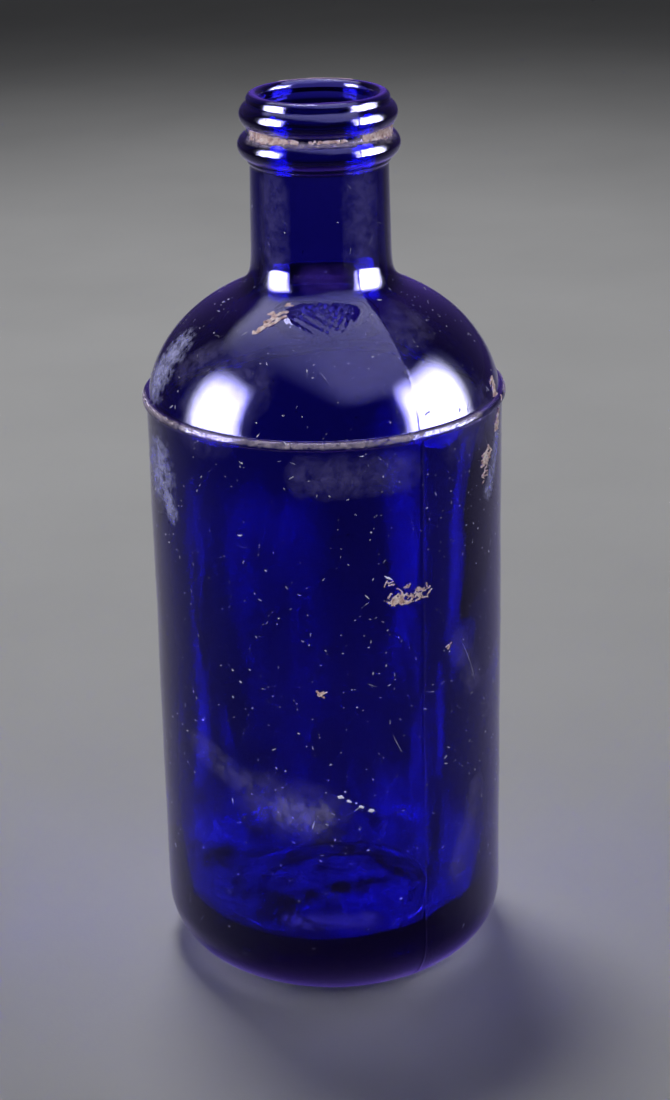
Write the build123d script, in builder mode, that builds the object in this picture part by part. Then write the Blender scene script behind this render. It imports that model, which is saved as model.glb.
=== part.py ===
"""Antique double-ring glass bottle, in millimetres.

+Z is up, the origin is the middle of the base on the surface that the bottle stands on,
and the front is the -Y side. The bottle is one blown and moulded piece of glass, closed
below and open at the mouth, with dried residue stuck to its outside in a few places.
"""
from build123d import *
from math import acos, asin, cos, degrees, radians, sin, sqrt
import os

os.makedirs("parts", exist_ok=True)

# Body
TOTAL_H = 177.8          # base to lip, 7 inches
BODY_R = 34.7            # plain cylinder below the shoulder
WALL = 3.2               # side wall
HEEL_R = 12.5            # rounding from the side to the base
BEARING_W = 1.7          # width of the flat ring that the bottle stands on
PUSH_UP_H = 3.0          # height of the hollow under the base
BASE_T = 5.5             # glass over the middle of the base
FLOOR_DROP = 2.0         # the inner floor falls this much from its middle to the wall
INNER_HEEL_R = 10.0      # rounding inside, from the wall to the floor

# Bead round the foot of the shoulder
RIDGE_Z = 119.5          # middle of the bead
RIDGE_H = 1.5
RIDGE_OUT = 0.75         # how far it stands out from the body

# Shoulder: part of an ellipse whose centre is on the axis
SHOULDER_Z = 117.0       # height of the ellipse's centre
SHOULDER_A = 34.5        # its half width
SHOULDER_B = 26.9        # its half height

# Neck
NECK_FOOT_R = 13.6
NECK_TOP_R = 13.2
NECK_FILLET = 3.5
BORE_R = 11.0

# Finish: a collar step, two rings and a rounded lip
COLLAR_Z = 164.6
COLLAR_R = 13.7
COLLAR_SLOPE = 0.4       # height of the collar's sloping underside
RING_R = 2.45            # radius of each ring's section
LOWER_RING_Z = 168.0
LOWER_RING_OUT = 15.4
UPPER_RING_Z = 173.8
UPPER_RING_OUT = 14.95
LIP_R = 13.55
LIP_ROUND = 1.2

# Residue: thin crusts on the glass, each (first azimuth, last azimuth, lowest z, highest z).
# Azimuth is in degrees from the front, positive towards +X.
CRUST_T = 0.35
BODY_CRUSTS = [(18, 34, 86.5, 90.0), (60, 68, 106.5, 113.0), (71, 75, 114.0, 118.5)]
SHOULDER_CRUSTS = [(-31, -23, 136.5, 139.5)]
GROOVE_CRUSTS = [(-59, -36, 170.6, 171.5), (49, 70, 170.6, 171.5)]


def ring_z(ring_out, r):
    """How far from a ring's middle height its surface has the radius r."""
    return sqrt(RING_R**2 - (r - (ring_out - RING_R)) ** 2)


def shoulder_angle(z):
    """The angle on the shoulder's ellipse at the height z."""
    return degrees(asin((z - SHOULDER_Z) / SHOULDER_B))


def shoulder_point(angle, grow=0.0):
    """A point (radius, z) on the shoulder's ellipse, made larger by grow."""
    return (
        (SHOULDER_A + grow) * cos(radians(angle)),
        SHOULDER_Z + (SHOULDER_B + grow) * sin(radians(angle)),
    )


def radial_plane(azimuth):
    """The upright plane through the axis whose local X points out at this azimuth."""
    out = Vector(sin(radians(azimuth)), -cos(radians(azimuth)), 0)
    return Plane(origin=(0, 0, 0), x_dir=out, z_dir=out.cross(Vector(0, 0, 1)))


# Places on the outline, as (radius, z)
bearing_out = (BODY_R - HEEL_R, 0)
bearing_in = (BODY_R - HEEL_R - BEARING_W, 0)
ridge_low = (BODY_R, RIDGE_Z - RIDGE_H / 2)
ridge_top_z = RIDGE_Z + RIDGE_H / 2
ridge_angle = shoulder_angle(ridge_top_z)
ridge_high = shoulder_point(ridge_angle)
neck_angle = degrees(acos(NECK_FOOT_R / SHOULDER_A))
neck_foot = shoulder_point(neck_angle)
collar_foot = (COLLAR_R, COLLAR_Z + COLLAR_SLOPE)
lower_ring_foot = (COLLAR_R, LOWER_RING_Z - ring_z(LOWER_RING_OUT, COLLAR_R))
lower_ring_top = (COLLAR_R, LOWER_RING_Z + ring_z(LOWER_RING_OUT, COLLAR_R))
upper_ring_foot = (COLLAR_R, UPPER_RING_Z - ring_z(UPPER_RING_OUT, COLLAR_R))
upper_ring_top = (LIP_R, UPPER_RING_Z + ring_z(UPPER_RING_OUT, LIP_R))

# Places on the cavity's outline
cavity_r = BODY_R - WALL
floor_mid = (0, PUSH_UP_H + BASE_T)
floor_edge = (cavity_r, PUSH_UP_H + BASE_T - FLOOR_DROP)
cavity_b = SHOULDER_B - WALL
bore_angle = degrees(acos(BORE_R / cavity_r))
bore_foot = (BORE_R, SHOULDER_Z + cavity_b * sin(radians(bore_angle)))

with BuildPart() as bottle:
    # The outside, as if the glass were solid
    with BuildSketch(Plane.XZ) as outside:
        with BuildLine():
            TangentArc((0, PUSH_UP_H), bearing_in, tangent=(1, 0))
            Line(bearing_in, bearing_out)
            CenterArc((BODY_R - HEEL_R, HEEL_R), HEEL_R, -90, arc_size=90)
            Line((BODY_R, HEEL_R), ridge_low)
            ThreePointArc(ridge_low, (BODY_R + RIDGE_OUT, RIDGE_Z), ridge_high)
            EllipticalCenterArc(
                (0, SHOULDER_Z), SHOULDER_A, SHOULDER_B, ridge_angle, arc_size=neck_angle - ridge_angle
            )
            Line(neck_foot, (NECK_TOP_R, COLLAR_Z))
            Line((NECK_TOP_R, COLLAR_Z), collar_foot)
            Line(collar_foot, lower_ring_foot)
            ThreePointArc(lower_ring_foot, (LOWER_RING_OUT, LOWER_RING_Z), lower_ring_top)
            Line(lower_ring_top, upper_ring_foot)
            ThreePointArc(upper_ring_foot, (UPPER_RING_OUT, UPPER_RING_Z), upper_ring_top)
            Polyline(upper_ring_top, (LIP_R, TOTAL_H), (0, TOTAL_H), (0, PUSH_UP_H))
        make_face()
        fillet(outside.vertices().sort_by_distance(neck_foot)[0], NECK_FILLET)
    revolve(axis=Axis.Z)

    # The cavity, from the crowned floor up through the bore
    with BuildSketch(Plane.XZ) as cavity:
        with BuildLine():
            TangentArc(floor_mid, floor_edge, tangent=(1, 0))
            Line(floor_edge, (cavity_r, SHOULDER_Z))
            EllipticalCenterArc((0, SHOULDER_Z), cavity_r, cavity_b, 0, arc_size=bore_angle)
            Polyline(bore_foot, (BORE_R, TOTAL_H), (0, TOTAL_H), floor_mid)
        make_face()
        fillet(cavity.vertices().sort_by_distance(floor_edge)[0], INNER_HEEL_R)
        fillet(cavity.vertices().sort_by_distance(bore_foot)[0], NECK_FILLET)
    revolve(axis=Axis.Z, mode=Mode.SUBTRACT)

    # The lip is fire polished: rounded inside and out
    fillet(bottle.edges().filter_by(GeomType.CIRCLE).group_by(Axis.Z)[-1], LIP_ROUND)
bottle.part.label = "bottle"
export_step(bottle.part, "parts/bottle.step")

with BuildPart() as residue_flakes:
    # On the body: strips of the cylinder's skin
    for first, last, low, high in BODY_CRUSTS:
        with BuildSketch(radial_plane(first)):
            with Locations((BODY_R + CRUST_T / 2, (low + high) / 2)):
                Rectangle(CRUST_T, high - low)
        revolve(axis=Axis.Z, revolution_arc=last - first)
    # On the shoulder: strips between its ellipse and a slightly larger one
    for first, last, low, high in SHOULDER_CRUSTS:
        start, end = shoulder_angle(low), shoulder_angle(high)
        with BuildSketch(radial_plane(first)):
            with BuildLine():
                EllipticalCenterArc(
                    (0, SHOULDER_Z), SHOULDER_A, SHOULDER_B, start, arc_size=end - start
                )
                EllipticalCenterArc(
                    (0, SHOULDER_Z), SHOULDER_A + CRUST_T, SHOULDER_B + CRUST_T, start, arc_size=end - start
                )
                Line(shoulder_point(start), shoulder_point(start, CRUST_T))
                Line(shoulder_point(end), shoulder_point(end, CRUST_T))
            make_face()
        revolve(axis=Axis.Z, revolution_arc=last - first)
    # In the groove between the rings
    for first, last, low, high in GROOVE_CRUSTS:
        with BuildSketch(radial_plane(first)):
            with Locations((COLLAR_R + CRUST_T / 2, (low + high) / 2)):
                Rectangle(CRUST_T, high - low)
        revolve(axis=Axis.Z, revolution_arc=last - first)
residue_flakes.part.label = "residue_flakes"
export_step(residue_flakes.part, "parts/residue_flakes.step")
print("glass", round(bottle.part.volume / 1000, 1), "ml, residue", len(residue_flakes.solids()), "flakes")
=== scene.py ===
"""The looks of the cobalt glass bottle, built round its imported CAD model.

The bottle's own sizes below are in millimetres, like the CAD's. Meshes, lights and the camera
are in metres. Azimuth is in degrees from the front, -Y, and positive towards +X.
"""
import math

import bpy
import numpy as np
from mathutils import Matrix, Vector, noise


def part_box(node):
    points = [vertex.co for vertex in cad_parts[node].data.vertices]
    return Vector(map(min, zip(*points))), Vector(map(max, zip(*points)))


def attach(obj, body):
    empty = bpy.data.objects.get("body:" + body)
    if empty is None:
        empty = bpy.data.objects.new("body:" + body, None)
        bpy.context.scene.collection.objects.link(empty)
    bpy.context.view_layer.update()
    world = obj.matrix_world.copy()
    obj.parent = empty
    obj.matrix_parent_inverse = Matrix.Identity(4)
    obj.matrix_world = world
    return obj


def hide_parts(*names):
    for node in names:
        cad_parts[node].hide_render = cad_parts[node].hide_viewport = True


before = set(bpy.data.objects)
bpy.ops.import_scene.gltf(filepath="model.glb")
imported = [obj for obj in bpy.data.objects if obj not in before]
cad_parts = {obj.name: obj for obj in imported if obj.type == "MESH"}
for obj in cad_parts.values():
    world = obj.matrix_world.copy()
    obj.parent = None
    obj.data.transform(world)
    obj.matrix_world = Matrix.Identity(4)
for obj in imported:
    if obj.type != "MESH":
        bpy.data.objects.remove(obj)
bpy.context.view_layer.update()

MM = 0.001

# ---------------------------------------------------------------- the bottle's outline, in mm
TOTAL_H = round((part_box("bottle")[1].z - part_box("bottle")[0].z) / MM, 1)
BODY_R = 34.7
WALL = 3.2
HEEL_R = 12.5
BEARING_IN, BEARING_OUT = 20.5, 22.2
PUSH_UP_H = 3.0
FLOOR_Z, FLOOR_DROP = 8.5, 2.0
INNER_HEEL_R = 10.0
RIDGE_Z, RIDGE_H, RIDGE_OUT = 119.5, 1.5, 0.75
RIDGE_LOW_Z = 119.0      # the bead is widest here, and its face above is only slightly curved
RIDGE_FACE_R, RIDGE_FACE = 3.4, 24.0
SHOULDER_Z, SHOULDER_A, SHOULDER_B = 117.0, 34.5, 26.9
NECK_FOOT_R, NECK_TOP_R, BORE_R = 13.6, 13.2, 11.0
COLLAR_Z, COLLAR_R, COLLAR_SLOPE = 164.6, 13.7, 0.4
RING_R = 2.45
LOWER_RING_Z, LOWER_RING_OUT = 168.0, 15.4
UPPER_RING_Z, UPPER_RING_OUT = 173.8, 14.95
LIP_R, LIP_ROUND = 13.55, 1.2
SEAM_AZIMUTH = 31.0      # the mould's two seams are here and opposite
SEAM_BELOW, SEAM_ABOVE = 0.12, 0.03              # how far they stand out below and above the bead
SEAM_WIDTH = 0.25
HALF_STEP = 0.11         # half the height difference between the mould halves at the bead
HEEL_EXTRA = 1.4         # how much thicker the glass is inside near the heel

# The foot of the neck is melted softer than the rest: its height, and over what distance
OUTSIDE_FOOT_Z, OUTSIDE_SOFT = 141.0, 2.6
INSIDE_FOOT_Z, INSIDE_SOFT = 139.0, 5.0
CORNER_SOFT = 0.2        # the same for all the small corners

STEP = 0.1               # spacing of the points that an outline is made with
FINE_ROW = 0.34          # spacing of a mesh's rows where it has small detail


def line(a, b):
    """Points from a to b."""
    count = max(2, int(math.dist(a, b) / STEP))
    return np.linspace(a, b, count)


def arc(centre, wide, high, first, last):
    """Points on an ellipse from one angle to another, in degrees."""
    count = max(8, int(math.radians(abs(last - first)) * max(wide, high) / STEP))
    turn = np.radians(np.linspace(first, last, count))
    return np.stack([centre[0] + wide * np.cos(turn), centre[1] + high * np.sin(turn)], 1)


def ring_angle(ring_out, r):
    """The angle on a ring's section where its surface has the radius r."""
    return math.degrees(math.acos((r - (ring_out - RING_R)) / RING_R))


def outside_path():
    """The outline of the outside, from the middle of the base up to the top of the lip."""
    dome_r = (BEARING_IN**2 + PUSH_UP_H**2) / (2 * PUSH_UP_H)
    dome_end = 90 - math.degrees(math.asin(BEARING_IN / dome_r))
    ridge_top_z = RIDGE_LOW_Z + RIDGE_FACE_R * math.sin(math.radians(RIDGE_FACE))
    shoulder_first = math.degrees(math.asin((ridge_top_z + 0.05 - SHOULDER_Z) / SHOULDER_B))
    shoulder_last = math.degrees(math.acos(NECK_FOOT_R / SHOULDER_A))
    neck_foot_z = SHOULDER_Z + SHOULDER_B * math.sin(math.radians(shoulder_last))
    lower, upper = ring_angle(LOWER_RING_OUT, COLLAR_R), ring_angle(UPPER_RING_OUT, COLLAR_R)
    upper_end = ring_angle(UPPER_RING_OUT, LIP_R)
    lower_ring = arc((LOWER_RING_OUT - RING_R, LOWER_RING_Z), RING_R, RING_R, -lower, lower)
    upper_ring = arc((UPPER_RING_OUT - RING_R, UPPER_RING_Z), RING_R, RING_R, -upper, upper_end)
    return np.concatenate([
        arc((0, PUSH_UP_H - dome_r), dome_r, dome_r, 90, dome_end),
        line((BEARING_IN, 0), (BEARING_OUT, 0)),
        arc((BODY_R - HEEL_R, HEEL_R), HEEL_R, HEEL_R, -90, 0),
        line((BODY_R, HEEL_R), (BODY_R, RIDGE_Z - RIDGE_H / 2)),
        arc((BODY_R, RIDGE_LOW_Z), RIDGE_OUT, RIDGE_LOW_Z - (RIDGE_Z - RIDGE_H / 2), -90, 0),
        arc((BODY_R + RIDGE_OUT - RIDGE_FACE_R, RIDGE_LOW_Z), RIDGE_FACE_R, RIDGE_FACE_R, 0, RIDGE_FACE),
        arc((0, SHOULDER_Z), SHOULDER_A, SHOULDER_B, shoulder_first, shoulder_last),
        line((NECK_FOOT_R, neck_foot_z), (NECK_TOP_R, COLLAR_Z)),
        line((COLLAR_R, COLLAR_Z + COLLAR_SLOPE), lower_ring[0]),
        lower_ring,
        line(lower_ring[-1], upper_ring[0]),
        upper_ring,
        line(upper_ring[-1], (LIP_R, TOTAL_H - LIP_ROUND)),
        arc((LIP_R - LIP_ROUND, TOTAL_H - LIP_ROUND), LIP_ROUND, LIP_ROUND, 0, 90),
    ])


def inside_path():
    """The outline of the cavity, from the top of the lip down to the middle of the floor."""
    cavity_r, cavity_b = BODY_R - WALL, SHOULDER_B - WALL
    bore_angle = math.degrees(math.acos(BORE_R / cavity_r))
    bore_foot_z = SHOULDER_Z + cavity_b * math.sin(math.radians(bore_angle))
    floor_r = (cavity_r**2 + FLOOR_DROP**2) / (2 * FLOOR_DROP)
    heel_z = FLOOR_Z - FLOOR_DROP / 2 + INNER_HEEL_R
    floor_end = math.degrees(math.asin((cavity_r - INNER_HEEL_R) / floor_r))
    return np.concatenate([
        arc((BORE_R + LIP_ROUND, TOTAL_H - LIP_ROUND), LIP_ROUND, LIP_ROUND, 90, 180),
        line((BORE_R, TOTAL_H - LIP_ROUND), (BORE_R, bore_foot_z)),
        arc((0, SHOULDER_Z), cavity_r, cavity_b, bore_angle, 0),
        line((cavity_r, SHOULDER_Z), (cavity_r, heel_z)),
        arc((cavity_r - INNER_HEEL_R, heel_z), INNER_HEEL_R, INNER_HEEL_R, 0, -90 - floor_end),
        arc((0, FLOOR_Z - floor_r), floor_r, floor_r, 90 - floor_end, 90),
    ])


def resample(path):
    """The same outline with evenly spaced points, and the distance along it to each."""
    reach = np.concatenate([[0], np.cumsum(np.linalg.norm(np.diff(path, axis=0), axis=1))])
    keep = np.concatenate([[True], np.diff(reach) > 1e-9])
    path, reach = path[keep], reach[keep]
    along = np.linspace(0, reach[-1], int(reach[-1] / STEP))
    return np.stack([np.interp(along, reach, path[:, k]) for k in (0, 1)], 1), along


def blurred(path, spread):
    """The outline with its corners melted over a distance of about spread."""
    half = int(4 * spread / STEP)
    weights = np.exp(-0.5 * (np.arange(-half, half + 1) * STEP / spread) ** 2)
    padded = np.pad(path, ((half, half), (0, 0)), mode="reflect", reflect_type="odd")
    return np.stack([np.convolve(padded[:, k], weights / weights.sum(), "valid") for k in (0, 1)], 1)


def melted(path, foot_z, spread):
    """The outline as fire leaves it: small corners soft, and the foot of the neck softer."""
    path, along = resample(path)
    soft, softer = blurred(path, CORNER_SOFT), blurred(path, spread)
    foot_at = along[np.argmin(np.hypot(path[:, 0] - NECK_FOOT_R, path[:, 1] - foot_z))]
    share = np.exp(-(((along - foot_at) / (2.0 + 3.0 * spread)) ** 4))[:, None]
    made = soft * (1 - share) + softer * share
    made[:, 0] = np.maximum(made[:, 0], 0)
    return made


class Outline:
    """One side of the glass as points (r, z) with the normal that points out of the glass."""

    def __init__(self, path, foot_z, spread):
        self.points, self.along = resample(melted(path, foot_z, spread))
        slope = np.gradient(self.points, axis=0)
        slope /= np.linalg.norm(slope, axis=1)[:, None]
        self.normals = np.stack([slope[:, 1], -slope[:, 0]], 1)

    def at(self, along):
        """The point and the normal at a distance along the outline."""
        point = [np.interp(along, self.along, self.points[:, k]) for k in (0, 1)]
        normal = [np.interp(along, self.along, self.normals[:, k]) for k in (0, 1)]
        return np.stack(point, -1), np.stack(normal, -1)

    def along_at(self, z):
        """The distance along the outline at a height on the outside wall."""
        first = int(np.argmin(self.points[:, 1]))
        return np.interp(z, np.maximum.accumulate(self.points[first:, 1]), self.along[first:])

    def along_at_depth(self, z):
        """The distance along the cavity's outline where it first comes down to a height."""
        return self.along[int(np.argmax(self.points[:, 1] < z))]

    def rows(self, coarse, turn, fine_spans=()):
        """Distances along the outline for a mesh's rows.

        They are coarse millimetres apart or less, with about turn degrees of bend between them,
        and closer in the spans of height that have small detail.
        """
        heading = np.unwrap(np.arctan2(self.normals[:, 1], self.normals[:, 0]))
        bend = np.abs(np.gradient(heading)) / math.radians(turn)
        density = bend + STEP / coarse
        for low, high in fine_spans:
            within = (self.along > self.along_at(low)) & (self.along < self.along_at(high))
            density = np.where(within, np.maximum(density, STEP / FINE_ROW), density)
        total = np.concatenate([[0], np.cumsum(density[1:])])
        count = int(total[-1])
        return np.interp(np.arange(count + 1) * total[-1] / count, total, self.along)


outside = Outline(outside_path(), OUTSIDE_FOOT_Z, OUTSIDE_SOFT)
inside = Outline(inside_path(), INSIDE_FOOT_Z, INSIDE_SOFT)


# ---------------------------------------------------------------- small shape tools
def ripple(turn, along, seed, count, orders, waves):
    """Smooth waves over a surface of revolution, about -1 to 1, that close up all round."""
    rng = np.random.default_rng(seed)
    total = np.zeros(np.broadcast(turn, along).shape)
    for _ in range(count):
        order = rng.integers(*orders)
        pitch = rng.uniform(*waves)
        phase = rng.uniform(0, 2 * math.pi, 2)
        total = total + np.cos(order * turn + phase[0] + 2 * math.pi * along / pitch) * np.cos(
            2 * math.pi * along / pitch / 3 + phase[1]
        )
    return total / math.sqrt(count)


def unevenness(turn, along, kinds):
    """Ripples of several kinds added up. Each is a height and the rest of what ripple takes."""
    return sum(height * ripple(turn, along, *rest) for height, *rest in kinds)


def bump_window(value, low, high, soft):
    """1 between low and high, falling to 0 over soft outside them."""
    rise = np.clip((value - low) / soft + 1, 0, 1)
    fall = np.clip((high - value) / soft + 1, 0, 1)
    return rise * rise * (3 - 2 * rise) * fall * fall * (3 - 2 * fall)


def new_object(name, vertices, faces, material):
    """A smooth mesh object from points in millimetres."""
    mesh = bpy.data.meshes.new(name)
    mesh.from_pydata((np.asarray(vertices) * MM).tolist(), [], faces)
    mesh.polygons.foreach_set("use_smooth", [True] * len(mesh.polygons))
    mesh.materials.append(material)
    mesh.update()
    piece = bpy.data.objects.new(name, mesh)
    bpy.context.scene.collection.objects.link(piece)
    return piece


# ---------------------------------------------------------------- the glass
STIPPLE_SPANS = [(17.0, 24.0), (136.4, 141.8)]   # heights that get fine rows
# Ripples: height, seed, how many, range of waves round the bottle and range of pitches up it
OUTSIDE_RIPPLES = [(0.055, 11, 14, (1, 5), (22, 70)), (0.012, 12, 18, (4, 22), (7, 22))]
INSIDE_RIPPLES = [
    (0.20, 21, 12, (1, 4), (30, 90)), (0.05, 22, 18, (3, 11), (12, 34)),
    (0.36, 23, 9, (3, 9), (160, 420)), (0.10, 24, 9, (9, 19), (140, 400)),
]
POLE_GAP = 1.5                                   # the rows stop this far from the axis


def glass_columns():
    """Azimuths of the mesh's columns: finer at the seams and where the glass is stippled."""
    even = np.arange(-180, 180, 2.0)
    stippled = np.arange(-24, 24, 0.7)
    beside_seam = np.array([0, 0.2, 0.45, 0.8, 1.4])
    seams = [SEAM_AZIMUTH + side + sign * beside_seam for side in (0, -180) for sign in (1, -1)]
    found = np.unique(np.round(np.concatenate([even, stippled, *seams]), 3))
    return found[np.append(np.diff(found) > 0.12, True)]


def dots(across, z, wide, high):
    """A slanting grid of soft mounds and hollows."""
    return np.sin(2 * math.pi * (across + 0.35 * z) / wide) * np.sin(2 * math.pi * (z - 0.25 * across) / high)


def stipple(azimuth, z, r):
    """Plain raised dots, standing in for worn moulded marks low on the front and on the shoulder."""
    across = np.radians(azimuth) * r
    low_band = bump_window(azimuth, -22, 22, 4) * bump_window(z, 18.5, 22.5, 1.2)
    oval = np.clip(1.3 - np.hypot(azimuth / 14.0, (z - 139.0) / 2.0), 0, 1)
    return 0.12 * low_band * dots(across, z, 1.8, 1.6) + 0.15 * oval * dots(across, z, 1.9, 1.4)


def outside_shift(azimuth, along, r, z):
    """How far the outside stands out from its outline: mould seams, ripples and stippling."""
    turn = np.radians(azimuth)
    body = bump_window(z, 2.0, 177.0, 2.0) * np.clip(r / 8, 0, 1)
    shift = unevenness(turn, along, OUTSIDE_RIPPLES)
    below, above = bump_window(z, 3.0, 118.0, 1.0), bump_window(z, 119.0, 176.0, 1.0)
    seam_height = SEAM_BELOW * below + SEAM_ABOVE * above
    for seam in (SEAM_AZIMUTH, SEAM_AZIMUTH - 180):
        away = np.radians((azimuth - seam + 180) % 360 - 180) * r
        shift = shift + seam_height * np.exp(-((away / SEAM_WIDTH) ** 2))
    return body * shift + stipple(azimuth, z, r)


def inside_shift(azimuth, along, r, z):
    """The cavity's unevenness: blown glass has more of it inside, and it is thicker near the heel."""
    turn = np.radians(azimuth)
    shift = unevenness(turn, along, INSIDE_RIPPLES)
    neck = bump_window(z, 122, 180, 12)
    floor = bump_window(z, 0, 11, 8)
    heel = HEEL_EXTRA * np.exp(-(((z - 6.0) / 17.0) ** 2)) * bump_window(r, 27, 40, 12)
    return shift * (1 - 0.75 * neck) * np.clip(r / 9, 0, 1) * (1 - 0.75 * floor) + heel


def half_step(azimuth, z):
    """The two mould halves don't quite meet at the bead: one is a little higher."""
    half = np.tanh(np.sin(np.radians(azimuth - SEAM_AZIMUTH)) * 40)
    return HALF_STEP * half * np.exp(-(((z - RIDGE_Z) / 3.0) ** 2))


def surface(side, azimuth, along, lift=0.0):
    """Points of the outside or the cavity, uneven as they are, lift millimetres off the glass."""
    azimuth, along = np.broadcast_arrays(azimuth, along)
    point, normal = side.at(along)
    r, z = point[..., 0], point[..., 1]
    shift = (outside_shift if side is outside else inside_shift)(azimuth, along, r, z) + lift
    r, z = r + normal[..., 0] * shift, z + normal[..., 1] * shift
    if side is outside:
        z = z + half_step(azimuth, z)
    r, z = np.minimum(r, BODY_R + RIDGE_OUT), np.clip(z, 0, TOTAL_H)
    turn = np.radians(azimuth)
    return np.stack([r * np.sin(turn), -r * np.cos(turn), z], -1)


def make_glass(material):
    """Outside and cavity as one closed skin, so that the glass has its true thickness."""
    columns = glass_columns()
    out_rows = outside.rows(3.0, 8.5, STIPPLE_SPANS)
    out_rows = out_rows[out_rows > POLE_GAP]
    in_rows = inside.rows(3.2, 9.5)[1:]
    in_rows = in_rows[in_rows < inside.along[-1] - POLE_GAP]
    sides = [(outside, out_rows), (inside, in_rows)]
    skins = [surface(side, columns[None], rows[:, None]) for side, rows in sides]
    base_mid, floor_mid = (0, 0, PUSH_UP_H), (0, 0, FLOOR_Z)
    points = np.concatenate([*(skin.reshape(-1, 3) for skin in skins), [base_mid, floor_mid]])
    wide, high = len(columns), len(out_rows) + len(in_rows)
    base, floor = wide * high, wide * high + 1
    faces = []
    for i in range(wide):
        j = (i + 1) % wide
        faces.append((base, j, i))
        faces.append((floor, (high - 1) * wide + i, (high - 1) * wide + j))
        for k in range(high - 1):
            faces.append((k * wide + i, k * wide + j, (k + 1) * wide + j, (k + 1) * wide + i))
    return new_object("glass_bottle", points, faces, material)


# ---------------------------------------------------------------- materials
def new_material(name):
    """A node material, its tree, a function that adds nodes and its Principled node."""
    material = bpy.data.materials.new(name)
    material.use_nodes = True
    tree = material.node_tree
    shader = tree.nodes["Principled BSDF"]

    def add(kind, values=None, **settings):
        node = tree.nodes.new("ShaderNode" + kind)
        for key, value in settings.items():
            setattr(node, key, value)
        for key, value in (values or {}).items():
            if isinstance(value, bpy.types.NodeSocket):
                tree.links.new(value, node.inputs[key])
            else:
                node.inputs[key].default_value = value
        return node

    return material, tree, add, shader


def ramp(add, factor, stops):
    """A colour ramp with stops (place, grey or colour)."""
    node = add("ValToRGB", {"Fac": factor})
    elements = node.color_ramp.elements
    while len(elements) < len(stops):
        elements.new(0.5)
    for element, (place, colour) in zip(elements, stops):
        element.position = place
        element.color = (*colour, 1) if isinstance(colour, tuple) else (colour, colour, colour, 1)
    return node.outputs["Color"]


def cobalt_glass():
    """Deep cobalt glass: coloured all through, with a worn and slightly greasy surface."""
    material, tree, add, shader = new_material("cobalt_glass")
    place = add("TexCoord").outputs["Object"]
    smudge = add("TexNoise", {"Vector": place, "Scale": 70.0, "Detail": 8.0, "Roughness": 0.62})
    film = add("TexNoise", {"Vector": place, "Scale": 26.0, "Detail": 5.0, "Distortion": 0.8})
    drawn = add("Mapping", {"Vector": place, "Scale": (1.0, 1.0, 0.16), "Rotation": (0.5, 0.3, 0.0)})
    scuff = add("TexVoronoi", {"Vector": drawn.outputs[0], "Scale": 420.0}, feature="DISTANCE_TO_EDGE")
    scuff_line = ramp(add, scuff.outputs["Distance"], [(0.0, 1.0), (0.012, 0.0)])
    patchy = ramp(add, smudge.outputs["Fac"], [(0.52, 0.0), (0.68, 1.0)])
    scratches = add("Math", {0: scuff_line, 1: patchy}, operation="MULTIPLY").outputs[0]
    dull = ramp(add, film.outputs["Fac"], [(0.40, 0.004), (0.62, 0.012), (0.80, 0.05)])
    rough = add("Math", {0: scratches, 1: 0.22, 2: dull}, operation="MULTIPLY_ADD")
    tree.links.new(rough.outputs[0], shader.inputs["Roughness"])
    tint = ramp(add, film.outputs["Fac"], [(0.35, (1.0, 1.0, 1.0)), (0.85, (0.86, 0.84, 0.92))])
    tree.links.new(tint, shader.inputs["Base Color"])
    grain = add("TexNoise", {"Vector": place, "Scale": 520.0, "Detail": 3.0})
    height = add("Math", {0: scratches, 1: -0.6, 2: grain.outputs["Fac"]}, operation="MULTIPLY_ADD")
    bump = add("Bump", {"Height": height.outputs[0], "Strength": 0.02, "Distance": 0.0002})
    tree.links.new(bump.outputs[0], shader.inputs["Normal"])
    shader.inputs["Transmission Weight"].default_value = 1.0
    shader.inputs["Specular Tint"].default_value = (0.28, 0.27, 0.70, 1)
    shader.inputs["IOR"].default_value = 1.52
    shader.inputs["Sheen Weight"].default_value = 0.05
    shader.inputs["Sheen Roughness"].default_value = 0.4
    shader.inputs["Sheen Tint"].default_value = (0.20, 0.08, 1.0, 1)
    absorb = add("VolumeAbsorption", {"Color": (0.10, 0.05, 0.775, 1), "Density": 1130.0})
    tree.links.new(absorb.outputs[0], tree.nodes["Material Output"].inputs["Volume"])
    return material


def dry_crust():
    """Tan flaky residue, paler on its high spots."""
    material, tree, add, shader = new_material("dry_crust")
    place = add("TexCoord").outputs["Object"]
    blotch = add("TexNoise", {"Vector": place, "Scale": 900.0, "Detail": 8.0, "Roughness": 0.7})
    colours = [
        (0.30, (0.26, 0.14, 0.13)), (0.43, (0.58, 0.39, 0.37)),
        (0.56, (0.82, 0.67, 0.67)), (0.72, (0.95, 0.90, 0.93)),
    ]
    tree.links.new(ramp(add, blotch.outputs["Fac"], colours), shader.inputs["Base Color"])
    grain = add("TexNoise", {"Vector": place, "Scale": 3200.0, "Detail": 5.0})
    bump = add("Bump", {"Height": grain.outputs["Fac"], "Strength": 0.6, "Distance": 0.0001})
    tree.links.new(bump.outputs[0], shader.inputs["Normal"])
    shader.inputs["Roughness"].default_value = 0.92
    return material


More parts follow.
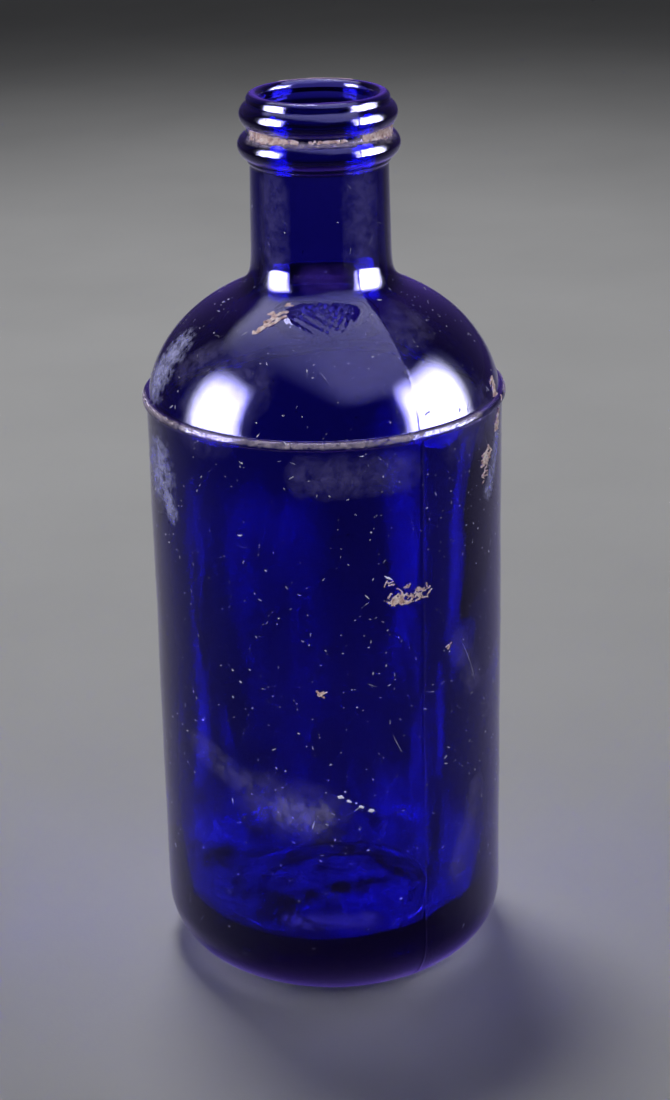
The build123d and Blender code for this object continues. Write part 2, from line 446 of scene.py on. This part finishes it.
def patchy_film(name, colour, low, high, scale, most, spread, drawn=1.0, detail=9.0):
    """A patchy film, used for dried mineral and for painted glow: it lets the glass show through where its
    noise is thin.

    It is clear where the noise is under low, and this opaque (most) over high. It breaks up
    towards the edges of its patches, the more so with more spread. A small drawn stretches the
    noise upwards.
    """
    material, tree, add, shader = new_material(name)
    where = add("TexCoord").outputs["Object"]
    place = add("Mapping", {"Vector": where, "Scale": (1.0, 1.0, drawn)}).outputs[0]
    fade = add("Attribute", attribute_name="fade").outputs["Fac"]
    look = {"Scale": scale, "Detail": detail, "Roughness": 0.7, "Distortion": 0.3}
    cloud = add("TexNoise", {"Vector": place, **look})
    lowered = add("Math", {0: fade, 1: spread, 2: -spread}, operation="MULTIPLY_ADD").outputs[0]
    broken = add("Math", {0: cloud.outputs["Fac"], 1: lowered}, operation="ADD").outputs[0]
    thin = ramp(add, broken, [(low, 0.0), (high, most)])
    tree.links.new(add("Math", {0: thin, 1: fade}, operation="MULTIPLY").outputs[0], shader.inputs["Alpha"])
    speck = add("TexNoise", {"Vector": place, "Scale": scale * 6, "Detail": 4.0})
    shades = [(0.3, tuple(0.7 * c for c in colour)), (0.7, colour)]
    tree.links.new(ramp(add, speck.outputs["Fac"], shades), shader.inputs["Base Color"])
    shader.inputs["Roughness"].default_value = 0.8
    return material


def pale_deposit(name, darkest):
    """White mineral, patchy: this dark where it is thinnest."""
    material, tree, add, shader = new_material(name)
    place = add("TexCoord").outputs["Object"]
    blotch = add("TexNoise", {"Vector": place, "Scale": 700.0, "Detail": 4.0})
    shades = [(0.36, (darkest, darkest, darkest + 0.15)), (0.70, (0.90, 0.89, 0.96))]
    tree.links.new(ramp(add, blotch.outputs["Fac"], shades), shader.inputs["Base Color"])
    shader.inputs["Roughness"].default_value = 0.55
    return material


# ---------------------------------------------------------------- what is stuck to the glass
class Collected:
    """Points and faces of many small closed shapes, for one object."""

    def __init__(self):
        self.points, self.faces, self.fades = [], [], []

    def add(self, points, faces, fades=None):
        start = sum(len(p) for p in self.points)
        self.points.append(np.asarray(points))
        self.faces.extend(tuple(start + k for k in face) for face in faces)
        self.fades.append(np.ones(len(points)) if fades is None else np.asarray(fades))

    def made(self, name, material):
        piece = new_object(name, np.concatenate(self.points), self.faces, material)
        fade = piece.data.attributes.new("fade", "FLOAT", "POINT")
        fade.data.foreach_set("value", np.concatenate(self.fades).astype(np.float32))
        return piece


def stroke_field(u, v, strokes):
    """Above 0 within each stroke (x0, y0, x1, y1, half width), and 1 along its middle."""
    field = np.full(u.shape, -9.0)
    for x0, y0, x1, y1, half in strokes:
        way = np.array([x1 - x0, y1 - y0])
        share = np.clip(((u - x0) * way[0] + (v - y0) * way[1]) / max(way @ way, 1e-9), 0, 1)
        away = np.hypot(u - x0 - share * way[0], v - y0 - share * way[1])
        field = np.maximum(field, 1 - (away / half) ** 2)
    return field


def thin_shell(shapes, over, under, cells, fades):
    """A closed shell: the marked cells of two grids of points, one over the other, and its rim."""
    used = np.zeros(over.shape[:2], bool)
    for di in (0, 1):
        for dj in (0, 1):
            used[di:di + cells.shape[0], dj:dj + cells.shape[1]] |= cells
    if not used.any():
        return
    number = np.cumsum(used.ravel()).reshape(used.shape) - 1
    count = int(used.sum())
    faces, rim = [], {}
    for i, j in zip(*np.nonzero(cells)):
        ring = [int(number[i, j]), int(number[i, j + 1]), int(number[i + 1, j + 1]), int(number[i + 1, j])]
        faces.append(tuple(ring))
        faces.append(tuple(count + k for k in reversed(ring)))
        for p, q in zip(ring, ring[1:] + ring[:1]):
            if rim.pop((q, p), None) is None:
                rim[(p, q)] = True
    faces.extend((q, p, count + p, count + q) for p, q in rim)
    shapes.add(np.concatenate([over[used], under[used]]), faces, np.tile(fades[used], 2))


def crust(shapes, azimuth, along, strokes, seed, thick, cell, ragged, grain, under=0.004):
    """A thin closed skin on the glass under some strokes, in millimetres from a point on it.

    Its edge is where the strokes and a noise with this grain come to zero, and it is thickest
    well inside them. Its underside is this far off the glass.
    """
    radius = float(outside.at(along)[0][0])
    ends = np.array([(x + side * half, y + side * half) for x0, y0, x1, y1, half in strokes
                     for x, y in ((x0, y0), (x1, y1)) for side in (-1, 1)])
    (left, low), (right, top) = ends.min(0) - 2 * cell, ends.max(0) + 2 * cell
    u, v = np.meshgrid(np.arange(left, right, cell), np.arange(low, top, cell))
    spots = zip(u.ravel() / grain, v.ravel() / grain)
    rough = np.reshape([noise.fractal(Vector((x, y, 7.3 * seed)), 0.7, 2.1, 4) for x, y in spots], u.shape)
    field = 0.75 * stroke_field(u, v, strokes) + ragged * (rough - 0.05)
    field[[0, -1]] = field[:, [0, -1]] = -1
    cells = np.minimum.reduce([field[:-1, :-1], field[1:, :-1], field[:-1, 1:], field[1:, 1:]]) > 0
    inner = np.clip(field, 0, 1)
    height = thick * np.sqrt(inner) * (0.5 + 0.6 * np.clip(rough + 0.5, 0, 1.5))
    azimuths, alongs = azimuth + np.degrees(u / radius), along + v
    skins = [surface(outside, azimuths, alongs, lift) for lift in (under + 0.007 + height, under)]
    thin_shell(shapes, *skins, cells, np.clip(1.4 * inner, 0, 1))


def curls(rng, wide, high, count, half):
    """Short strokes scattered over a patch, most of them near its middle."""
    strokes = []
    for _ in range(count):
        x, y = rng.normal(0, 0.27, 2) * (wide, high)
        heading, length = rng.normal(0.25, 0.65), rng.uniform(1.2, 4.2) * half
        dx, dy = length * math.cos(heading), length * math.sin(heading)
        strokes.append((x - dx, y - dy, x + dx, y + dy, half * rng.uniform(0.6, 1.3)))
    return strokes


# The claw-like flake on the shoulder, as strokes
CLAW = [
    (-2.0, -3.0, -0.9, -0.7, 0.55), (-0.9, -0.7, -0.15, 1.1, 0.58), (-0.15, 1.1, 0.7, 2.4, 0.50),
    (-1.8, 1.9, -0.9, 2.1, 0.42), (-0.9, 2.1, -0.1, 1.45, 0.46), (0.2, 1.8, 1.2, 2.9, 0.42),
    (1.2, 2.9, 2.2, 2.9, 0.34), (-0.6, -1.1, 0.45, -0.1, 0.42), (0.45, -0.1, 1.3, 1.2, 0.42),
    (1.3, 1.2, 2.1, 1.8, 0.34), (-1.4, -0.35, -1.0, 0.5, 0.3),
]
# Each cluster of curls: azimuth, z, width, height, how many, half width, seed
CLUSTERS = [
    (23.6, 87.9, 6.6, 2.0, 40, 0.22, 5), (29.5, 88.8, 6.0, 1.8, 14, 0.16, 6),
    (19.2, 91.6, 2.6, 1.2, 4, 0.17, 7), (25.0, 90.4, 3.2, 1.2, 6, 0.15, 8),
    (62.0, 110.6, 3.0, 4.2, 22, 0.26, 10), (60.5, 107.0, 2.4, 3.0, 8, 0.18, 11),
    (72.0, 115.6, 1.8, 4.6, 18, 0.27, 12), (72.5, 122.0, 1.8, 3.4, 14, 0.28, 13),
    (-3.5, 70.0, 0.8, 0.6, 3, 0.24, 14), (41.0, 76.0, 0.8, 1.0, 3, 0.18, 15),
    (-22.0, 140.8, 1.8, 0.8, 3, 0.18, 16), (160.0, 70.0, 2.4, 2.6, 12, 0.2, 17),
]
# Where the groove between the rings is full of crust: azimuth, width, half height, seed
GROOVE_CRUSTS = [
    (-55, 4.6, 1.2, 21), (-41, 3.6, 1.0, 22), (-24, 3.4, 0.55, 23), (48, 3.8, 1.0, 24), (62, 4.6, 1.3, 25),
    (77, 3.0, 0.9, 26), (8, 7.0, 0.4, 29), (165, 3.4, 0.5, 27), (-140, 2.6, 0.5, 28),
]
# The same for the back of the lip
LIP_CRUSTS = [(176, 5.0, 0.45, 31), (158, 3.6, 0.4, 32), (-166, 3.6, 0.4, 33), (-150, 1.8, 0.3, 34)]


def make_crusts(material):
    """Tan residue: on the shoulder, the right of the body, in the groove and on the lip's back."""
    shapes = Collected()
    crust(shapes, -27.0, outside.along_at(138.5), CLAW, 3, 0.30, 0.085, 0.8, 0.7)
    for azimuth, z, wide, high, count, half, seed in CLUSTERS:
        strokes = curls(np.random.default_rng(seed), wide, high, count, half)
        crust(shapes, azimuth, outside.along_at(z), strokes, seed, 0.24, 0.08, 0.7, 0.5)
    groove = outside.along_at((LOWER_RING_Z + UPPER_RING_Z) / 2)
    lip = outside.along[-1] - 0.7
    for along, bands in ((groove, GROOVE_CRUSTS), (lip, LIP_CRUSTS)):
        for azimuth, wide, half, seed in bands:
            band = [(-wide / 2, 0, wide / 2, 0, half)]
            crust(shapes, azimuth, along, band, seed, 0.2, 0.11, 0.9, 0.5)
    return shapes.made("residue_crusts", material)


# Each patch of haze, and of painted glow where said: azimuth, z, half length, half width, lean, seed
STRONG_HAZE = [
    (-67.0, 108.5, 9.5, 8.0, 100, 41), (-60.0, 102.5, 4.6, 3.2, 125, 42), (-73.0, 128.0, 10.0, 6.0, 75, 43),
    (68.0, 108.0, 8.0, 3.0, 60, 44),
]
# Faint haze. The two upright bands on the neck's sides, at z 153 and 154, are partly speckled haze and partly
# painted lighter bands standing in for light refracted through the neck.
FAINT_HAZE_AND_NECK_GLOW = [
    (-14.0, 45.0, 13.0, 7.5, -12, 47), (-40.0, 52.0, 9.5, 3.8, -24, 52), (50.5, 34.0, 12.0, 3.4, 68, 53),
    (50.0, 70.5, 9.0, 3.8, -60, 54), (9.0, 113.5, 14.0, 5.0, 0, 59), (55.0, 119.0, 12.0, 9.0, 10, 60),
    (-36.0, 126.0, 14.0, 9.0, 60, 61), (36.0, 154.0, 13.0, 4.8, 90, 62), (-42.0, 153.0, 13.0, 4.4, 90, 63),
    (-52.0, 131.0, 7.0, 4.0, 45, 46), (150.0, 92.0, 15.0, 9.0, 25, 55), (-140.0, 60.0, 15.0, 9.0, 70, 56),
    (110.0, 40.0, 12.0, 7.0, 10, 57), (28.0, 135.0, 15.0, 7.0, 30, 65),
]
# On the two rings, in the groove between them and along the top of the bead
EDGE_HAZE = [
    (-48.0, 171.0, 6.5, 2.6, 0, 66), (56.0, 171.0, 7.0, 2.8, 0, 67), (5.0, 170.3, 9.0, 1.0, 0, 68),
    (160.0, 171.0, 8.0, 2.0, 0, 69), (-12.0, 120.0, 24.0, 0.9, 0, 70), (38.0, 120.1, 12.0, 0.9, 0, 74),
    (-70.0, 120.0, 12.0, 1.0, 0, 78), (120.0, 120.0, 26.0, 1.0, 0, 79), (-150.0, 120.0, 22.0, 1.0, 0, 80),
]
# The heart of the smear low on the body
LOW_HAZE = [(-10.0, 44.2, 8.0, 4.8, -8, 51)]
# On the foot of the neck, where the glass is thickest: a little speckled haze, and mostly a painted
# blue-violet glow that lifts the dark band there
NECK_HAZE_AND_GLOW = [(1.0, 145.0, 6.0, 3.4, 0, 91)]
# Painted blue glow in the worn marks low on the front, standing in for light they catch from inside the glass
MARK_GLOW = [(-2.0, 20.5, 10.5, 2.6, 0, 92)]


def make_film_patches(name, patches, material):
    """Film in patches: mineral haze dried on, and in places painted glow. They lie at three depths so that
    they don't coincide.
    """
    shapes = Collected()
    for layer, (azimuth, z, long_half, short_half, lean, seed) in enumerate(patches):
        reach = long_half - short_half
        dx, dy = reach * math.cos(math.radians(lean)), reach * math.sin(math.radians(lean))
        strokes = [(-dx, -dy, dx, dy, short_half)]
        cell = min(0.45, short_half / 4)
        under = 0.004 + 0.009 * (layer % 3)
        crust(shapes, azimuth, outside.along_at(z), strokes, seed, 0.0, cell, 0.1, 3.0, under)
    return shapes.made(name, material)


# Streaks of dregs inside: azimuth, half width, lowest z, highest z, strength
DREG_STREAKS = [
    (-29, 6.0, 62, 104, 0.9), (-23, 3.5, 92, 106, 0.8), (-35, 4.0, 36, 60, 1.0), (27, 6.0, 38, 60, 0.8),
    (40.5, 0.9, 54, 67, 1.0), (50, 4.0, 72, 98, 0.5), (14, 9.0, 60, 84, 0.3), (-8, 7.0, 92, 104, 0.3),
    (150, 8.0, 50, 104, 0.8), (-120, 7.0, 30, 92, 0.8), (104, 7.0, 60, 104, 0.7), (-166, 9.0, 20, 80, 0.6),
]


FILM_FADES_Z, FILM_FADE = 12.0, 14.0     # the floor's film fades from this height over this distance


def make_inner_film(material):
    """Dried dregs: a thin film over the cavity's floor, with streaks up its wall."""
    first, last = inside.along_at_depth(118.0), inside.along[-1] - 2.0
    azimuth, along = np.meshgrid(np.arange(-180, 180.1, 2.5), np.linspace(first, last, 130))
    over, under = (surface(inside, azimuth, along, lift) for lift in (0.03, 0.02))
    z = over[..., 2]
    fades = np.clip((FILM_FADES_Z + FILM_FADE - z) / FILM_FADE, 0, 1)
    for middle, half, low, high, strength in DREG_STREAKS:
        away = (azimuth - middle + 180) % 360 - 180
        fades = np.maximum(fades, strength * np.exp(-((away / half) ** 2)) * bump_window(z, low, high, 9.0))
    cells = np.maximum.reduce([fades[:-1, :-1], fades[1:, :-1], fades[:-1, 1:], fades[1:, 1:]]) > 0.03
    shapes = Collected()
    thin_shell(shapes, over, under, cells, fades)
    return shapes.made("dried_dregs", material)


# ---------------------------------------------------------------- specks, scratches and drops
SPECKS, SPECK_CLUSTERS, SHORT_SCRATCHES = 1900, 150, 110
SPECK_SEED, SCRATCH_SEED, DROP_SEED = 71, 72, 73


def blob(shapes, azimuth, along, long_r, short_r, thick, lean, rng, sides=7):
    """A tiny flat-bottomed mound with an uneven edge, stuck to the glass."""
    radius = float(outside.at(along)[0][0])
    turn = np.linspace(0, 2 * math.pi, sides, endpoint=False) + rng.uniform(0, 1)
    edge = 1 + rng.uniform(-0.3, 0.3, sides)
    wide, high = long_r * edge * np.cos(turn), short_r * edge * np.sin(turn)
    tilt = math.radians(lean)
    u, v = wide * math.cos(tilt) - high * math.sin(tilt), wide * math.sin(tilt) + high * math.cos(tilt)
    levels = [(1.0, 0.01), (0.93, 0.45 * thick), (0.55, thick)]
    across = np.degrees(u / radius)
    rings = [surface(outside, azimuth + across * share, along + v * share, lift) for share, lift in levels]
    tip = surface(outside, np.array([azimuth]), np.array([along]), 1.06 * thick)
    faces = [tuple(range(sides))[::-1]]
    for level in range(len(levels) - 1):
        for k in range(sides):
            n = (k + 1) % sides
            low, high_row = level * sides, (level + 1) * sides
            faces.append((low + k, low + n, high_row + n, high_row + k))
    last = (len(levels) - 1) * sides
    faces.extend((last + k, last + (k + 1) % sides, len(levels) * sides) for k in range(sides))
    shapes.add(np.concatenate([*rings, tip]), faces)


def scratch(shapes, path, wide):
    """A pale hairline along points (azimuth, distance along the outline)."""
    path = np.asarray(path, float)
    radius = outside.at(path[:, 1])[0][:, 0]
    flat = np.stack([np.radians(path[:, 0]) * radius, path[:, 1]], 1)
    way = np.gradient(flat, axis=0)
    way /= np.linalg.norm(way, axis=1)[:, None] + 1e-9
    taper = np.sqrt(np.clip(np.sin(np.linspace(0.02, 0.98, len(path)) * math.pi), 0.05, 1))
    side = np.stack([-way[:, 1], way[:, 0]], 1) * (wide / 2 * taper)[:, None]
    rings = []
    for sign, lift in ((1, 0.006), (-1, 0.006), (0, 0.02)):
        azimuth = path[:, 0] + np.degrees(side[:, 0] * sign / radius)
        rings.append(surface(outside, azimuth, path[:, 1] + side[:, 1] * sign, lift))
    n = len(path)
    faces = [(0, n, 2 * n), (n - 1, 3 * n - 1, 2 * n - 1)]
    for k in range(n - 1):
        faces.append((k, k + 1, n + k + 1, n + k))
        faces.append((n + k, n + k + 1, 2 * n + k + 1, 2 * n + k))
        faces.append((2 * n + k, 2 * n + k + 1, k + 1, k))
    shapes.add(np.concatenate(rings), faces)


def make_specks(material):
    """Mineral specks all round, most of them very small, in loose clusters and on the body."""
    rng = np.random.default_rng(SPECK_SEED)
    shapes = Collected()
    first, last = outside.along_at(26.0), outside.along_at(140.0)
    low, high = outside.along_at(9.0), outside.along_at(163.0)
    places = rng.uniform(-180, 180, SPECK_CLUSTERS), rng.uniform(first, last, SPECK_CLUSTERS)
    clusters = np.stack(places, 1)
    for _ in range(SPECKS):
        if rng.random() < 0.3:
            azimuth, along = clusters[rng.integers(len(clusters))] + rng.normal(0, 1, 2) * (9, 6.0)
            along = float(np.clip(along, low, high))
        elif rng.random() < 0.85:
            azimuth, along = rng.uniform(-180, 180), rng.uniform(first, last)
        else:
            azimuth, along = rng.uniform(-180, 180), rng.uniform(low, high)
        size = 0.07 + 0.10 * rng.random() ** 3
        long_r = size * (rng.uniform(1, 2.2) if rng.random() < 0.85 else rng.uniform(3, 6))
        blob(shapes, azimuth, along, long_r, size, 0.5 * size, rng.uniform(0, 180), rng)
    return shapes.made("mineral_specks", material)


# The larger scratches: azimuth and z of each end, and the bow between them in millimetres
SCRATCHES = [
    (-1.3, 131.9, 2.1, 129.7, 0.2), (46.6, 75.8, 54.8, 65.4, 0.8), (60.5, 115.0, 70.0, 107.5, -0.6),
    (61.0, 109.0, 69.0, 106.0, 0.5), (20.0, 60.0, 23.0, 56.0, -0.2),
]


def make_scratches(material):
    """Hairline scratches: the larger ones listed and many short ones all round."""
    rng = np.random.default_rng(SCRATCH_SEED)
    shapes = Collected()

    def one(a0, s0, a1, s1, bow, wide):
        steps = np.linspace(0, 1, 12)
        azimuth = a0 + (a1 - a0) * steps
        along = s0 + (s1 - s0) * steps + bow * np.sin(math.pi * steps) + rng.normal(0, 0.012, 12)
        scratch(shapes, np.stack([azimuth, along], 1), wide)

    for a0, z0, a1, z1, bow in SCRATCHES:
        one(a0, outside.along_at(z0), a1, outside.along_at(z1), bow, 0.10)
    first, last = outside.along_at(8.0), outside.along_at(163.0)
    for _ in range(SHORT_SCRATCHES):
        a0, s0 = rng.uniform(-180, 180), rng.uniform(first, last)
        heading, length = rng.uniform(0, math.pi), 0.5 + 2.0 * rng.random() ** 2
        radius = float(outside.at(s0)[0][0])
        a1 = a0 + math.degrees(length * math.cos(heading) / radius)
        s1 = float(np.clip(s0 + length * math.sin(heading), first, last))
        one(a0, s0, a1, s1, rng.uniform(-0.3, 0.3), rng.uniform(0.04, 0.07))
    return shapes.made("hairline_scratches", material)


# The brightest dried drops, their near-white colour partly their own mineral and partly painted glints:
# azimuth, z, half length, half width, lean
DROPS_WITH_PAINTED_GLINTS = [
    (2.6, 47.9, 0.75, 0.36, -18), (5.2, 46.9, 0.5, 0.34, -25), (9.2, 45.5, 0.5, 0.34, -30),
    (12.2, 44.5, 0.6, 0.42, -25), (4.0, 49.0, 0.2, 0.16, 0), (7.5, 46.4, 0.2, 0.16, 0),
    (19.0, 92.6, 0.8, 0.2, -35), (-46.0, 60.0, 0.3, 0.2, 20), (-28.0, 101.0, 0.5, 0.16, 10),
    (140.0, 70.0, 0.6, 0.3, 40),
]


def make_drops_with_painted_glints(material):
    """A few larger dried drops, near white so that they also paint the glints they catch."""
    rng = np.random.default_rng(DROP_SEED)
    shapes = Collected()
    for azimuth, z, long_r, short_r, lean in DROPS_WITH_PAINTED_GLINTS:
        blob(shapes, azimuth, outside.along_at(z), long_r, short_r, 0.45 * short_r, lean, rng, sides=12)
    return shapes.made("dried_drops_painted_glints", material)


# ---------------------------------------------------------------- the studio
def floor_material():
    """Plain pale card with a faint tooth."""
    material, tree, add, shader = new_material("pale_floor")
    place = add("TexCoord").outputs["Object"]
    cloud = add("TexNoise", {"Vector": place, "Scale": 9.0, "Detail": 4.0})
    shades = [(0.3, (0.60, 0.60, 0.61)), (0.7, (0.66, 0.66, 0.67))]
    tree.links.new(ramp(add, cloud.outputs["Fac"], shades), shader.inputs["Base Color"])
    tooth = add("TexNoise", {"Vector": place, "Scale": 1400.0, "Detail": 4.0})
    bump = add("Bump", {"Height": tooth.outputs["Fac"], "Strength": 0.15, "Distance": 0.0002})
    tree.links.new(bump.outputs[0], shader.inputs["Normal"])
    shader.inputs["Roughness"].default_value = 0.9
    return material


def make_floor():
    """A floor so wide that no view ends it, which the bottle stands on."""
    half_width, count = 14000, 24
    steps = np.linspace(-half_width, half_width, count)
    points = [(x, y, 0.0) for y in steps for x in steps]
    faces = [
        (j * count + i, j * count + i + 1, (j + 1) * count + i + 1, (j + 1) * count + i)
        for j in range(count - 1) for i in range(count - 1)
    ]
    piece = new_object("floor", points, faces, floor_material())
    return piece


def math_node(tree, operation, *values):
    """A Math node's output."""
    node = tree.nodes.new("ShaderNodeMath")
    node.operation = operation
    for socket, value in zip(node.inputs, values):
        if isinstance(value, bpy.types.NodeSocket):
            tree.links.new(value, socket)
        else:
            socket.default_value = value
    return node.outputs[0]


def smooth_rise(tree, value, low, high):
    """0 where value is low, 1 where it is high, and smooth between."""
    fade = tree.nodes.new("ShaderNodeMapRange")
    fade.interpolation_type = "SMOOTHSTEP"
    tree.links.new(value, fade.inputs["Value"])
    fade.inputs["From Min"].default_value = low
    fade.inputs["From Max"].default_value = high
    return fade.outputs[0]


def panel(name, place, tilt, turn, size, radiance, edges, only):
    """A rectangular light. With no tilt it faces down, and at 90 degrees it faces the axis.

    edges gives how much of its width and height it takes to fade in from the left, right,
    bottom and top. only is the collection that it lights.
    """
    light = bpy.data.lights.new(name, "AREA")
    light.shape, (light.size, light.size_y) = "RECTANGLE", size
    light.energy = radiance * math.pi * size[0] * size[1]
    light.use_nodes = True
    tree = light.node_tree
    spot = tree.nodes.new("ShaderNodeNewGeometry").outputs["Parametric"]
    parts = tree.nodes.new("ShaderNodeSeparateXYZ")
    tree.links.new(spot, parts.inputs[0])
    from_left, from_bottom = parts.outputs["X"], parts.outputs["Y"]
    sides = [from_left, math_node(tree, "SUBTRACT", 1.0, from_left),
             from_bottom, math_node(tree, "SUBTRACT", 1.0, from_bottom)]
    glow = 1.0
    for side, width in zip(sides, edges):
        glow = math_node(tree, "MULTIPLY", glow, smooth_rise(tree, side, 0.0, width))
    tree.links.new(glow, tree.nodes["Emission"].inputs["Strength"])
    lamp = bpy.data.objects.new(name, light)
    lamp.location = place
    lamp.rotation_euler = (math.radians(tilt), 0, math.radians(turn))
    lamp.visible_camera = False
    bpy.context.scene.collection.objects.link(lamp)
    lamp.light_linking.receiver_collection = only


def around(azimuth, away, z):
    """A place at this azimuth and distance from the axis, in metres."""
    return away * math.sin(math.radians(azimuth)), -away * math.cos(math.radians(azimuth)), z


def grouped(name, pieces):
    """A collection of pieces, for a light that falls on nothing else."""
    group = bpy.data.collections.new(name)
    for piece in pieces:
        group.objects.link(piece)
    return group


# The softboxes at the sides: name, azimuth, size and how their edges fade
SIDE_PANELS = [
    ("left", -76, (0.80, 1.08), (0.5, 0.25, 0.15, 0.5)),
    ("right", 80, (1.04, 1.10), (0.2, 0.5, 0.15, 0.5)),
]


def make_lights(glass_piece, deposits_and_painted_glow):
    """Softboxes left, right and overhead for the glass, and gentler light for all the rest."""
    glass_only = grouped("glass_only", [glass_piece])
    deposits_and_painted_glow_only = grouped("deposits_and_painted_glow_only", deposits_and_painted_glow)
    for name, azimuth, size, edges in SIDE_PANELS:
        place = around(azimuth, 0.9, 0.44)
        panel(name + "_in_glass", place, 90, azimuth, size, 110.0, edges, glass_only)
        behind, halo = around(azimuth, 1.0, 0.56), (1.5 * size[0], 1.1)
        panel(name + "_halo", behind, 90, azimuth, halo, 7.0, (0.5, 0.5, 0.3, 0.5), glass_only)
        panel(name + "_on_deposits", place, 90, azimuth, size, 2.0, edges, deposits_and_painted_glow_only)
    overhead = (0.117, -0.30, 1.03)
    panel("top_in_glass", overhead, 0, 35.8, (1.32, 2.6), 3.9, (0.45, 0.04, 0.28, 0.1), glass_only)
    key = around(-20, 0.8, 0.55)
    panel("key_on_deposits", key, 70, -20, (0.5, 0.5), 9.0, (0.3, 0.3, 0.3, 0.3), deposits_and_painted_glow_only)
    make_pool()
    make_world()


def make_pool():
    """A soft pool of light on the floor behind the bottle."""
    pool = bpy.data.lights.new("pool", "SPOT")
    pool.energy, pool.shadow_soft_size = 22.0, 0.15
    pool.spot_size, pool.spot_blend = math.radians(74), 1.0
    lamp = bpy.data.objects.new("pool", pool)
    lamp.location = (-0.12, 0.36, 1.1)
    lamp.rotation_mode = "QUATERNION"
    lamp.rotation_quaternion = (Vector((0, 0.34, 0)) - lamp.location).to_track_quat("-Z", "Y")
    bpy.context.scene.collection.objects.link(lamp)


def make_world():
    """A faint even light from all round."""
    world = bpy.data.worlds.new("room")
    world.use_nodes = True
    background = world.node_tree.nodes["Background"]
    background.inputs["Color"].default_value = (0.95, 0.96, 1.0, 1)
    background.inputs["Strength"].default_value = 0.05
    bpy.context.scene.world = world


def make_camera():
    """The camera at the photograph's viewing angle."""
    data = bpy.data.cameras.new("camera")
    data.sensor_width = 36.0
    data.lens = 80.1
    data.clip_start, data.clip_end = 0.01, 50.0
    camera = bpy.data.objects.new("camera", data)
    yaw, pitch, roll = 0.0033, 0.377, -0.0202
    level = Matrix.Rotation(-yaw, 3, "Z") @ Matrix.Rotation(math.pi / 2 - pitch, 3, "X")
    turn = level @ Matrix.Rotation(roll, 3, "Z")
    camera.rotation_mode = "QUATERNION"
    camera.rotation_quaternion = turn.to_quaternion()
    camera.location = (0.0, -0.45636, 0.26622)
    bpy.context.scene.collection.objects.link(camera)
    bpy.context.scene.camera = camera


# ---------------------------------------------------------------- putting it together
glass = make_glass(cobalt_glass())
crusts = make_crusts(dry_crust())
haze_blue = patchy_film("blue_haze", (0.58, 0.58, 1.0), 0.34, 0.70, 620.0, 0.8, 0.22)
# Faint lavender haze; on the neck's sides it also paints lighter bands of refracted light
faint_film_haze_and_glow = patchy_film("faint_haze_and_painted_glow", (0.40, 0.35, 0.88), 0.30, 0.85, 420.0, 0.15, 0.10)
haze_pink = patchy_film("pink_haze", (0.80, 0.68, 0.82), 0.34, 0.74, 1100.0, 0.6, 0.15)
haze_low = patchy_film("low_haze", (0.44, 0.40, 0.95), 0.36, 0.78, 620.0, 0.42, 0.22)
# Saturated violet: painted glow standing in for blue light in the thick glass at the neck's foot, over a
# little real haze
violet_film_haze_and_glow = patchy_film("violet_haze_and_painted_glow", (0.13, 0.05, 1.0), 0.25, 0.75, 500.0, 0.09, 0.1)
# Saturated blue mottles: painted glow for the light the worn marks catch from inside, not a deposit
painted_glow_marks_film = patchy_film("painted_mark_glow", (0.07, 0.05, 1.0), 0.42, 0.66, 1500.0, 0.26, 0.1)
dregs = patchy_film("dregs", (0.80, 0.78, 0.90), 0.36, 0.70, 110.0, 0.40, 0.0, 0.22, 2.0)
# Everything stuck to the glass: real residue, haze and specks, with the painted glow films and the drops'
# painted glints among them
deposits_and_painted_glow = [
    crusts,
    make_film_patches("mineral_haze", STRONG_HAZE, haze_blue),
    make_film_patches("faint_mineral_haze_and_painted_neck_glow", FAINT_HAZE_AND_NECK_GLOW, faint_film_haze_and_glow),
    make_film_patches("edge_haze", EDGE_HAZE, haze_pink),
    make_film_patches("low_mineral_haze", LOW_HAZE, haze_low),
    make_film_patches("neck_haze_and_painted_glow", NECK_HAZE_AND_GLOW, violet_film_haze_and_glow),
    make_film_patches("painted_mark_glow", MARK_GLOW, painted_glow_marks_film),
    make_inner_film(dregs),
]
specks = pale_deposit("pale_specks", 0.08)
# The drops' near-white material (0.8) is partly painted glint, standing in for light the drops catch
deposits_and_painted_glow += [make_specks(specks), make_scratches(specks), make_drops_with_painted_glints(pale_deposit("white_drops_painted_glints", 0.8))]

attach(glass, "root")
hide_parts("bottle")
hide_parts("residue_flakes")
for piece in deposits_and_painted_glow:
    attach(piece, "root")

make_floor()
make_lights(glass, deposits_and_painted_glow)
make_camera()
bpy.context.scene.view_settings.view_transform = "Standard"
